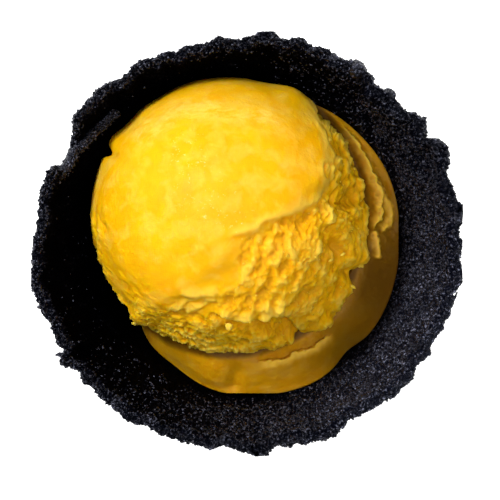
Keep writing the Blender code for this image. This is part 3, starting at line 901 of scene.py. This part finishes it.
def scoopSurface(unit):
    radius = scoop["radius"]
    plan = unit[:, :2] * radius
    surface = unit * radius
    rho = np.arccos(np.clip(unit[:, 2], -1.0, 1.0)) * radius
    bearing = bearingOf(unit)
    above = ramp(unit[:, 2], *scoop["reliefFrom"])
    form = scoopForm(unit, plan, bearing)

    # the torn sheets, their edges scalloped and ragged
    wander = noiseSum(surface, 101, tornLook["wander"])
    sheets, crest, shift = tornSheets(plan, scoop["lips"], wander)

    # how rough it is: sharp where the skin is torn at the right, gradual at the lower left
    depth = insideOutline(plan, np.array(scoop["skinEnds"]))
    blend = 1.0 + 5.0 * ramp(-plan[:, 0], -6.0, 3.0)
    rough = ramp(depth + noise(surface, 5.0, 104) * blend * 0.7 + wander, -0.1 * blend, 1.1 * blend)
    leftBand = ramp(-plan[:, 0] + noise(surface, 2.5, 105) * 1.2, 23.5, 26.0)
    leftBand = leftBand * ramp(3.0 - plan[:, 1], 0.0, 6.0)
    rough = np.maximum(rough, 0.8 * leftBand)

    # soft ridges run down the torn side, crumbs lie on them
    along = np.array(tornLook["ridgesRun"])
    across = np.array((along[1], -along[0]))
    strands = np.column_stack((plan @ across, plan @ along * 0.42, surface[:, 2] * 0.26))
    middle, halfWidth = tornLook["ridgesAt"]
    striated = hill(plan[:, 0] - middle, halfWidth) * ramp(-plan[:, 1], -1.0, 6.0)
    ridges = noiseSum(strands, 110, tornLook["ridges"]) + noise(surface, 0.9, 112) * 0.2
    ridges = ridges * (0.75 + 0.5 * noise(surface, 3.2, 113))
    size, tall = tornLook["crumb"]
    crumb = layered(surface, size, 4, 120) * tall + (pebbles(surface, 1.0, 125) - 0.4) * 0.28
    leftLow = ramp(-plan[:, 0], -3.0, 5.0)
    rightUp = ramp(plan[:, 0] - 15.0, 0.0, 4.0) * ramp(plan[:, 1] + 4.0, 0.0, 5.0)
    crumb = crumb * (1.0 + 0.7 * rightUp) + rightUp * noise(surface, 1.2, 126) * 0.25
    terraces = sum(shingles(rho, surface, size, seed) * tall for size, tall, seed in tornLook["scales"])
    rise = ridges * striated + crumb * (1.0 - 0.3 * striated) + (terraces - 0.2) * leftLow

    # froth along the hem: thin walls between small open bubbles
    warped = surface + layered(surface, 2.0, 3, 150)[:, None] * [1.0, -0.9, 0.8]
    near, second = cellGap(warped * [1.0, 1.0, 0.75], tornLook["bubble"], 151)
    walls = hill(second - near, 0.35)
    middle, halfWidth = tornLook["frothAt"]
    frothy = ramp(rho + noise(surface, 4.0, 152) * 2.5, *tornLook["frothFrom"])
    frothy = frothy * hill(turnedFrom(bearing, middle), halfWidth)
    froth = walls * 0.6 - 0.4 + layered(surface, 1.0, 3, 153) * 0.28
    rise = rise * (1.0 - 0.5 * frothy) + froth * frothy
    rise = (rise + noiseSum(surface, 160, tornLook["fine"])) * rough

    # the skin: nearly smooth, with faint waves and the scrape marks of the spoon
    skin = layered(surface, 8.0, 2, 170) * 0.22 + noise(surface, 1.7, 172) * 0.035
    rise += (1.0 - rough) * skin

    # ragged teeth along the hem
    middle, halfWidth = tornLook["teethAt"]
    edge = hill(unit[:, 2] * radius - 1.5, 3.2) * hill(turnedFrom(bearing, middle), halfWidth)
    teeth = noiseSum(surface * [1.0, 1.0, 0.3], 180, tornLook["teeth"])
    rise += edge * teeth

    relief = (form + sheets + rise) * above
    moved = np.array(scoop["centre"]) + unit * (radius + relief)[:, None]
    moved[:, :2] += shift * above[:, None]

    # painted light: highlights on high places, walls between bubbles, torn edges and teeth, and painted shade
    # in the hollows
    paintedReliefLight = rough * (np.clip(rise, -0.6, 0.5) + walls * frothy * 0.35)
    paintedReliefLight = paintedReliefLight + crest * 0.5 + edge * np.clip(teeth, 0.0, 0.6)
    paintedReliefLight -= 0.3 * rough * np.clip(-folded(plan, scoop["folds"]), 0.0, 1.5)
    return keptInside(moved), rough, np.clip(paintedReliefLight, -1.0, 1.2)


def addSorbet(name, material, node, points, quads, triangles, rough, paintedReliefLight, frost, fillToneAndShade=0.0):
    mesh = makeMesh(name, withinBox(points, node), quads, triangles)
    for key, values in (("rough", rough), ("paintedReliefLight", paintedReliefLight), ("frost", frost), ("fillToneAndShade", fillToneAndShade)):
        addValue(mesh, key, np.broadcast_to(values, len(points)))
    makePiece(name, mesh, material, node)


capLook = {                     # half width, then plan points from the scoop's centre
    "frost": (3.2, ((-16.5, 16.5), (-10.0, 20.0), (-4.0, 21.5), (2.0, 21.2), (10.0, 19.0))),
    "glintSpots": (4.6, ((-8.0, 13.0), (-6.0, 6.0), (-4.0, 1.0), (2.0, -0.5))),
}


def frostOn(unit):
    # near 1 on the frosted part of the cap, near -1 where small specks are painted as glints
    plan = unit[:, :2] * scoop["radius"]
    frosted, glintSpots = [hill(lineSide(plan, np.array(line))[0], wide) for wide, line in capLook.values()]
    return (frosted - glintSpots) * (unit[:, 2] > 0.0)


def buildScoop(material):
    rows = scoop["steps"] + 1
    unit, axis = ballDirections(scoop["steps"], scoop["facing"], scoop["openings"])
    unit = np.vstack((unit, -axis))
    points, rough, paintedReliefLight = scoopSurface(unit)
    number = np.arange(rows * rows).reshape(rows, rows)
    border = np.concatenate((number[:-1, 0], number[-1, :-1], number[:0:-1, -1], number[0, :0:-1]))
    quads = gridFaces(rows, rows, False, False)[:, ::-1]
    close = fan(border, rows * rows)
    addSorbet("sorbetBall", material, "sorbet_scoop", points, quads, close, rough, paintedReliefLight, frostOn(unit))


# The fill: the same sorbet pressed down round the scoop

fill = {
    "level": 38.5,
    "edgeLevel": 32.0,
    "edgeWaves": dict(counts=(3, 5, 8), height=0.4, seed=3),
    "edgeDips": (               # angle, how much lower the edge lies there, half width
        (206, 14.0, 20.0), (238, 5.0, 14.0), (125, 2.5, 60.0), (60, -3.0, 26.0),
        (28, -3.5, 18.0), (296, -2.0, 14.0), (313, 3.0, 7.0),
    ),
    "shoulder": 24.0,
    "edgeReach": 1.04,
    "paintedShadeAt": -14.0,          # bearing about which painted shade darkens the fill, where the scoop shadows it
    "paintedShadeSpread": 42.0,
    "gap": 0.35,
    "columns": 720,
    "innerRadius": 19.0,
    "rows": 106,
    "folds": dict(              # plan points from the cup's axis, rise, half width
        frontValley=(((-2.3, -27.2), (-3.6, -33.4)), -1.4, 1.5),
        frontLump=(((-14.2, -24.7), (-8.9, -28.5)), 1.5, 3.6),
        rightRidge=(((19.8, 26.5), (24.6, 19.0), (27.4, 11.9), (27.8, 5.0)), 1.3, 2.0),
        groove=((
            (15.8, 29.2), (19.2, 24.3), (22.1, 20.3), (23.4, 15.9), (24.4, 11.9), (25.3, 7.5), (24.4, -0.5),
        ), -1.6, 1.3),
    ),
    # torn edges, as on the scoop
    "lips": {
        "rightSheet": (1.2, 1.1, 1.2, 2.2, 0.4, 1.25, 0.6, (
            (18.9, 27.7), (21.7, 23.5), (23.8, 20.3), (26.1, 15.5), (27.6, 11.9), (28.4, 7.7), (27.6, 4.5),
            (26.5, 2.5),
        )),
        "secondSheet": (0.6, 1.1, 0.8, 1.8, 0.3, 0.9, 0.7, (
            (27.0, 14.0), (28.6, 11.3), (30.5, 8.1), (30.7, 5.6), (29.5, 3.3), (28.3, 2.3),
        )),
        "sideSheet": (0.5, 1.0, 0.6, 1.5, 0.2, 0.9, 0.7, (
            (27.0, 3.0), (27.4, 1.8), (28.0, -1.8), (27.6, -3.4),
        )),
        "frontSheet": (0.6, 1.2, 0.9, 1.5, 0.3, 0.9, 0.6, (
            (1.8, -25.1), (4.8, -24.9), (7.2, -24.5), (12.4, -22.6), (16.0, -20.7), (18.5, -19.0),
        )),
    },
    "wander": ((3.0, 0.5), (1.2, 0.45), (0.6, 0.22)),
}


def dentHeight(x, y):
    # top of the fill under the scoop: the ball's underside with a small gap
    radius = scoop["radius"] + fill["gap"]
    away = np.hypot(x - scoop["centre"][0], y - scoop["centre"][1])
    sunk = np.sqrt(np.clip(radius ** 2 - away ** 2, 0.0, None))
    return np.where(away < radius, scoop["centre"][2] - sunk, np.inf)


def edgeHeight(angle):
    height = fill["edgeLevel"] + waves(angle, **fill["edgeWaves"])
    for centre, lower, halfWidth in fill["edgeDips"]:
        height = height - lower * hill(turnedFrom(angle, centre), halfWidth)
    return height


def buildFill(material):
    columns = fill["columns"]
    angle = np.arange(columns) * 360.0 / columns
    turn = np.radians(angle)
    edge = edgeHeight(angle)
    rimOut = insideRadius(edge) - fill["gap"]
    edge = np.minimum(edge, dentHeight(rimOut * np.cos(turn), rimOut * np.sin(turn)))
    rimOut = insideRadius(edge) - fill["gap"]

    inner = np.repeat(np.linspace(1.0, fill["innerRadius"], 8)[:, None], columns, axis=1)
    share = np.linspace(0.0, 1.0, fill["rows"] + 1)[1:, None]
    outGrid = np.vstack((inner, fill["innerRadius"] + (rimOut - fill["innerRadius"]) * share))
    rows = len(outGrid)
    out = outGrid.ravel()
    turnAll = np.tile(turn, rows)
    edgeAll, rimAll = np.tile(edge, rows), np.tile(rimOut, rows)
    flat = roundBy(out, turnAll, np.zeros(len(out)))
    plan = flat[:, :2]
    top = fill["level"] - (fill["level"] - edgeAll) * ramp(out, fill["shoulder"], fill["edgeReach"] * rimAll)
    free = 1.0 - ramp(out / rimAll, 0.93, 1.0)
    sheets, crest, shift = tornSheets(plan, fill["lips"], noiseSum(flat, 201, fill["wander"]))
    rise = folded(plan, fill["folds"]) + sheets + layered(flat, 3.4, 3, 210) * 0.22
    torn = ramp(flat[:, 1] + noise(flat, 5.0, 215) * 3.0, -4.0, 6.0)
    rise += torn * layered(flat, 1.5, 3, 216) * 0.34 + noise(flat, 0.8, 214) * 0.05
    top = np.minimum(top + rise * free, dentHeight(*plan.T))
    topPoints = np.column_stack((plan + shift * free[:, None] * (top < dentHeight(*plan.T))[:, None], top))
    topPoints[-columns:] = roundBy(rimOut, turn, edge)

    base = cup["floor"] + fill["gap"]
    turnUp = base + cup["floorRound"]
    side = edge + (turnUp - edge) * np.linspace(0.0, 1.0, 10)[1:, None]
    sideOut = insideRadius(side) - fill["gap"]
    floorOut = (insideRadius(turnUp) - fill["gap"] - cup["floorRound"]) * np.linspace(1.0, 0.1, 5)[:, None]
    low = np.vstack((side, np.full((5, columns), base)))
    lowOut = np.vstack((sideOut, np.repeat(floorOut, columns, axis=1)))
    lowPoints = roundBy(lowOut.ravel(), np.tile(turn, len(low)), low.ravel())

    allRows = rows + len(low)
    ring = np.arange(columns)
    last = (allRows - 1) * columns
    centreTop = [0.0, 0.0, float(dentHeight(np.zeros(1), np.zeros(1))[0])]
    points = np.vstack((topPoints, lowPoints, [centreTop, [0.0, 0.0, base]]))
    first = allRows * columns
    fans = np.vstack((fan(ring, first), fan(ring + last, first + 1, True)))
    quads = gridFaces(allRows, columns)[:, ::-1]

    # painted highlights on the torn edges; the fill is darker all over, with painted shade where the scoop
    # shadows it at the right and under the scoop's hem
    paintedReliefLight = np.zeros(len(points))
    paintedReliefLight[:len(crest)] = crest * 0.75 * free
    fillToneAndShade = np.zeros(len(points))
    shade = hill(turnedFrom(np.degrees(turnAll), fill["paintedShadeAt"]), fill["paintedShadeSpread"])
    away = np.hypot(plan[:, 0] - scoop["centre"][0], plan[:, 1] - scoop["centre"][1]) - scoop["radius"]
    hemShade = hill(np.maximum(away - 0.8, 0.0), 1.7)
    dark = np.maximum(0.42 + 0.55 * shade * ramp(out / rimAll, 0.66, 0.82), 0.95 * hemShade)
    fillToneAndShade[:len(crest)] = (1.0 - 0.8 * crest) * dark
    addSorbet("sorbetFill", material, "sorbet_fill", points, quads, fans, 0.25, paintedReliefLight, 0.0, fillToneAndShade)


# Small crumbs, curls and spikes that stand on the sorbet

bits = {
    "spikes": (                 # place from the scoop's centre, length, width, thickness, bearing, dip
        (27.4, -10.4, 3.6, 1.3, 0.6, 0.5, -35.0, 10.0), (21.2, -22.4, 3.0, 1.3, 0.7, 0.7, -72.0, 10.0),
        (26.0, -15.1, 4.4, 1.0, 0.35, 0.35, -25.0, 0.0), (25.6, -16.2, 3.6, 0.8, 0.3, 0.3, -10.0, 0.0),
        (-19.2, -22.4, 2.2, 0.9, 0.3, 0.3, 65.0, 0.0), (-19.5, -23.0, 1.6, 0.5, 0.28, 0.28, 150.0, 0.0),
        (21.4, -9.6, 15.3, 0.6, 0.25, 0.25, 30.0, 20.0), (23.9, -8.4, 13.2, 0.55, 0.25, 0.22, 35.0, 20.0),
        (28.2, -1.0, 2.5, 1.3, 0.3, 0.35, 75.0, 0.0), (0.6, -23.2, 16.0, 0.9, 0.75, 0.7, -85.0, 40.0),
    ),
    "crumbs": 260,
    "crumbSize": (0.12, 0.26),
}


def buildBits(material):
    spikes = np.array(bits["spikes"])
    centres = np.array(scoop["centre"]) + spikes[:, :3]
    frames = framesAlong(spikes[:, 6], spikes[:, 7])
    parts = scatterBalls(centres, spikes[:, 3:6], frames, 14, 24, 0.3, 231)
    # the spikes and crumbs stand up and are painted with a fixed highlight
    addSorbet("sorbetSpikes", material, "sorbet_scoop", *parts, 0.8, 0.55, 0.0)
    random = np.random.default_rng(232)
    torn = bpy.data.meshes["sorbetBall"]
    places = np.empty(len(torn.vertices) * 3)
    torn.vertices.foreach_get("co", places)
    places = places.reshape(-1, 3)[:-1] / mm
    rough = np.empty(len(torn.vertices))
    torn.attributes["rough"].data.foreach_get("value", rough)
    fromSide = np.linalg.norm(places - np.array(scoop["centre"]), axis=1)
    high = places[:, 2] > scoop["centre"][2]
    free = np.flatnonzero((rough[:-1] > 0.7) & (fromSide > scoop["radius"] - 2.5) & high)
    count = bits["crumbs"]
    chosen = random.choice(free, count, replace=False)
    sizes = random.uniform(*bits["crumbSize"], (count, 1)) * random.uniform(0.7, 1.2, (count, 3))
    parts = scatterBalls(places[chosen], sizes, anyWays(random, count, 50.0), 4, 7, 0.25, 233)
    addSorbet("sorbetCrumbs", material, "sorbet_scoop", *parts, 0.8, 0.35, 0.0)


# Materials

def newMaterial(name):
    material = bpy.data.materials.new(name)
    material.use_nodes = True
    tree = material.node_tree
    return material, tree, tree.nodes["Principled BSDF"]


def setInputs(tree, node, **settings):
    # a socket is linked, a value is set, and any other name is the node's own setting
    for key, value in settings.items():
        if key not in node.inputs:
            setattr(node, key, value)
        elif isinstance(value, bpy.types.NodeSocket):
            tree.links.new(value, node.inputs[key])
        else:
            node.inputs[key].default_value = value
    return node


def addNode(tree, kind, **settings):
    return setInputs(tree, tree.nodes.new(kind), **settings)


def inMillimetres(tree):
    place = addNode(tree, "ShaderNodeTexCoord").outputs["Object"]
    return addNode(tree, "ShaderNodeMapping", Vector=place, Scale=(1.0 / mm,) * 3).outputs["Vector"]


def attributeNode(tree, name, output="Fac"):
    return addNode(tree, "ShaderNodeAttribute", attribute_name=name).outputs[output]


def noiseNode(tree, vector, size, detail=3.0, roughness=0.55, bent=0.0):
    settings = dict(Vector=vector, Scale=1.0 / size, Detail=detail, Roughness=roughness, Distortion=bent)
    return addNode(tree, "ShaderNodeTexNoise", **settings).outputs["Fac"]


def rangeNode(tree, source, low, high, toLow, toHigh):
    settings = {"Value": source, "From Min": low, "From Max": high, "To Min": toLow, "To Max": toHigh}
    return addNode(tree, "ShaderNodeMapRange", **settings).outputs["Result"]


def mixColour(tree, factor, first, second):
    node = addNode(tree, "ShaderNodeMix", data_type="RGBA", Factor=factor)
    for key, value in (("A", first), ("B", second)):
        socket = [s for s in node.inputs if s.name == key and s.type == "RGBA"][0]
        if isinstance(value, tuple):
            socket.default_value = (*value, 1.0)
        else:
            tree.links.new(value, socket)
    return [s for s in node.outputs if s.type == "RGBA"][0]


def mathNode(tree, operation, first, second):
    node = addNode(tree, "ShaderNodeMath", operation=operation)
    for socket, value in zip(node.inputs, (first, second)):
        if isinstance(value, float):
            socket.default_value = value
        else:
            tree.links.new(value, socket)
    return node.outputs["Value"]


def bumpNode(tree, height, strength, distance, **under):
    settings = dict(Height=height, Strength=strength, Distance=distance, **under)
    return addNode(tree, "ShaderNodeBump", **settings).outputs["Normal"]


bakedWall = {
    # near black: painted shade where the wall is painted unlit
    "shadeBlack": (0.0002, 0.0002, 0.0005),
    "dark": (0.0022, 0.0027, 0.0064),
    "light": (0.0360, 0.0390, 0.0660),
    # painted glints on the grain
    "paintedGlint": (0.1300, 0.1400, 0.2000),
    "grainSize": 0.34,
    "cellSize": 0.62,
    "roughness": (0.35, 0.65),
    "bump": 0.0006,
    "ior": 1.03,
}
sugarCrust = {
    # near black: painted shade where the wall is painted unlit
    "shadeBlack": (0.0002, 0.0002, 0.0005),
    "dark": (0.0008, 0.0008, 0.0016),
    "light": (0.0150, 0.0165, 0.0300),
    # painted glints on the grain
    "paintedGlint": (0.1700, 0.1800, 0.2500),
    "grainSize": 0.22,
    "cellSize": 0.40,
    "roughness": (0.12, 0.36),
    "bump": 0.00012,
    "ior": 1.42,
}


def waferMaterial(name, look):
    material, tree, shader = newMaterial(name)
    place = attributeNode(tree, "grainPlace", "Vector")
    broad = noiseNode(tree, place, 4.0, 4.0)
    fine = noiseNode(tree, place, look["grainSize"], 3.0, 0.65)
    cells = addNode(tree, "ShaderNodeTexVoronoi", Vector=place, Scale=1.0 / look["cellSize"])

    # dark batter, paler on its grain, with sparse painted glints; painted shade, nearly black, where the
    # share of painted light is low
    colour = mixColour(tree, rangeNode(tree, fine, 0.52, 0.76, 0.0, 1.0), look["dark"], look["light"])
    # painted glints: sparse pale bluish dots stand in for sparkle
    chosen = rangeNode(tree, noiseNode(tree, place, 0.55, 1.0), 0.59, 0.68, 0.0, 1.0)
    colour = mixColour(tree, chosen, colour, look["paintedGlint"])
    paintedLight = mathNode(tree, "ADD", attributeNode(tree, "paintedLight"), mathNode(tree, "MULTIPLY", broad, 0.3))
    colour = mixColour(tree, rangeNode(tree, paintedLight, 0.15, 1.15, 1.0, 0.0), colour, look["shadeBlack"])
    glossy = mathNode(tree, "MULTIPLY", fine, 0.5)
    glossy = mathNode(tree, "ADD", mathNode(tree, "MULTIPLY", broad, 0.5), glossy)
    bump = bumpNode(tree, fine, 1.0, look["bump"])
    bump = bumpNode(tree, cells.outputs["Distance"], 0.6, look["bump"] * 0.8, Normal=bump)
    setInputs(tree, shader, **{
        "Base Color": colour,
        "Roughness": rangeNode(tree, glossy, 0.38, 0.62, *look["roughness"]),
        "Normal": bump,
        "IOR": look["ior"],
        "Specular Tint": (0.74, 0.76, 1.0, 1.0),
    })
    return material


def sorbetMaterial():
    look = {
        "deep": (0.94, 0.43, 0.001),
        # painted shade for the hollows
        "hollowShade": (0.70, 0.325, 0.001),
        "bright": (0.98, 0.49, 0.002),
        # painted highlight for what stands up
        "paintedReliefLight": (1.0, 0.585, 0.06),
        "frost": (1.0, 0.585, 0.07),
        # the fill's darker tone and its painted shade
        "fillToneAndShade": (0.13, 0.053, 0.003),
        # painted glint for the small specks
        "glintSpeck": (1.0, 0.84, 0.36),
    }
    material, tree, shader = newMaterial("yellowSorbet")
    place = inMillimetres(tree)
    rise = attributeNode(tree, "paintedReliefLight")
    rough = attributeNode(tree, "rough")
    frost = attributeNode(tree, "frost")

    # two yellows in broad clouds, with painted shade in hollows and painted highlights on what stands up
    cloud = rangeNode(tree, noiseNode(tree, place, 7.0), 0.38, 0.62, 0.25, 1.0)
    base = mixColour(tree, cloud, look["deep"], look["bright"])
    base = mixColour(tree, rangeNode(tree, rise, -0.45, 0.02, 0.9, 0.0), base, look["hollowShade"])
    base = mixColour(tree, rangeNode(tree, rise, 0.08, 0.6, 0.0, 0.95), base, look["paintedReliefLight"])

    # thin frost in streaks on the cap and in wisps elsewhere, and small painted glints as pale specks
    turned = dict(Vector=place, Rotation=(0.0, 0.0, math.radians(14.0)), Scale=(0.6, 1.05, 1.0))
    turned = addNode(tree, "ShaderNodeMapping", **turned).outputs["Vector"]
    streaks = rangeNode(tree, noiseNode(tree, turned, 2.6, 4.0, 0.6, 0.6), 0.42, 0.6, 0.1, 1.0)
    frosted = mathNode(tree, "MULTIPLY", rangeNode(tree, frost, 0.1, 0.8, 0.0, 1.0), streaks)
    wisps = rangeNode(tree, noiseNode(tree, place, 3.6, 2.6, 0.5, 0.4), 0.45, 0.72, 0.0, 0.55)
    anywhere = mathNode(tree, "MULTIPLY", wisps, rangeNode(tree, rough, 0.2, 0.8, 1.0, 0.3))
    base = mixColour(tree, mathNode(tree, "MAXIMUM", frosted, anywhere), base, look["frost"])
    dots = rangeNode(tree, noiseNode(tree, place, 0.62, 2.0, 0.5, 0.6), 0.62, 0.76, 0.0, 0.75)
    clusters = rangeNode(tree, noiseNode(tree, place, 2.2, 2.0), 0.44, 0.6, 0.0, 1.0)
    dots = mathNode(tree, "MULTIPLY", dots, clusters)
    glintSpeckled = mathNode(tree, "MULTIPLY", rangeNode(tree, frost, -0.8, -0.1, 1.0, 0.0), dots)
    base = mixColour(tree, glintSpeckled, base, look["glintSpeck"])
    # the fill's darker tone, and painted shade under the hem and in the scoop's shadow
    base = mixColour(tree, attributeNode(tree, "fillToneAndShade"), base, look["fillToneAndShade"])

    tiny = noiseNode(tree, place, 0.5, 3.0, 0.6)
    gloss = rangeNode(tree, tiny, 0.3, 0.7, 0.36, 0.56)
    bump = bumpNode(tree, tiny, 0.4, 0.00012)
    bump = bumpNode(tree, noiseNode(tree, place, 1.6), 0.35, 0.0004, Normal=bump)
    setInputs(tree, shader, **{
        "Base Color": base,
        "Roughness": mathNode(tree, "ADD", gloss, mathNode(tree, "MULTIPLY", rough, 0.12)),
        "Normal": bumpNode(tree, glintSpeckled, 0.5, 0.0001, Normal=bump),
        "Subsurface Weight": 0.85,
        "Subsurface Radius": (1.0, 1.0, 0.35),
        "Subsurface Scale": 0.0014,
        "IOR": 1.33,
        "Specular IOR Level": 0.2,
    })
    return material


# The floor, the lights and the camera

def buildStage():
    floor = {"half": 1.5, "colour": (0.9, 0.9, 0.9, 1.0), "glow": 0.9}
    mesh = bpy.data.meshes.new("floor")
    corners = np.array(((-1, -1, 0), (1, -1, 0), (1, 1, 0), (-1, 1, 0))) * floor["half"]
    mesh.from_pydata(corners.tolist(), [], [(0, 1, 2, 3)])
    material, tree, shader = newMaterial("paleFloor")
    setInputs(tree, shader, **{
        "Base Color": floor["colour"],
        "Roughness": 0.9,
        "Emission Color": (1.0, 1.0, 1.0, 1.0),
        "Emission Strength": floor["glow"],
    })
    mesh.materials.append(material)
    linkObject("floor", mesh)


lights = {                      # bearing, height in degrees, distance, size across, power
    "key": (149.0, 51.0, 0.9, 0.20, 6.9),
    "back": (92.0, 50.0, 1.0, 0.40, 2.4),
    "above": (-45.0, 76.0, 1.1, 0.9, 7.8),
}


def buildLights():
    aim = np.array((0.0, 0.0, 0.045))
    for name, (bearing, height, away, size, power) in lights.items():
        turn, lift = math.radians(bearing), math.radians(height)
        toLight = np.array((math.cos(lift) * math.cos(turn), math.cos(lift) * math.sin(turn), math.sin(lift)))
        data = bpy.data.lights.new(name, "AREA")
        data.shape = "DISK"
        data.size = size
        data.energy = power
        light = linkObject(name, data)
        light.location = aim + toLight * away
        light.rotation_mode = "QUATERNION"
        light.rotation_quaternion = Vector(toLight).to_track_quat("Z", "Y")
    world = bpy.data.worlds.new("softRoom")
    world.use_nodes = True
    tree = world.node_tree
    way = addNode(tree, "ShaderNodeTexCoord").outputs["Generated"]
    upward = addNode(tree, "ShaderNodeSeparateXYZ", Vector=way).outputs["Z"]
    glow = rangeNode(tree, upward, 0.09, 0.2, 0.9, 0.035)      # bright near the horizon, dim above
    setInputs(tree, tree.nodes["Background"], Strength=glow, Color=(1.0, 1.0, 1.0, 1.0))
    bpy.context.scene.world = world
    bpy.context.scene.view_settings.view_transform = "Standard"


def buildCamera():
    view = {
        "eyeHeight": 0.660,
        "rimHeight": 0.060,
        "widthAtRim": 0.10185,
        "centre": (0.00061, -0.00132),
    }
    data = bpy.data.cameras.new("fromAbove")
    data.sensor_width = 36.0
    data.lens = data.sensor_width * (view["eyeHeight"] - view["rimHeight"]) / view["widthAtRim"]
    data.clip_start = 0.01
    data.clip_end = 20.0
    camera = linkObject("fromAbove", data)
    camera.location = (*view["centre"], view["eyeHeight"])
    bpy.context.scene.camera = camera


wafer = waferMaterial("blackWafer", bakedWall)
glossyWafer = waferMaterial("glossyWafer", sugarCrust)
sorbet = sorbetMaterial()
lining = buildLining(wafer)
buildShell(wafer)
flapGrid = buildFlap(wafer)
buildRimBits(glossyWafer)
buildRings(glossyWafer, lining)
buildCrust(glossyWafer, lining, flapGrid)
buildScoop(sorbet)
buildFill(sorbet)
buildBits(sorbet)
buildStage()
buildLights()
buildCamera()

print("scene ready")
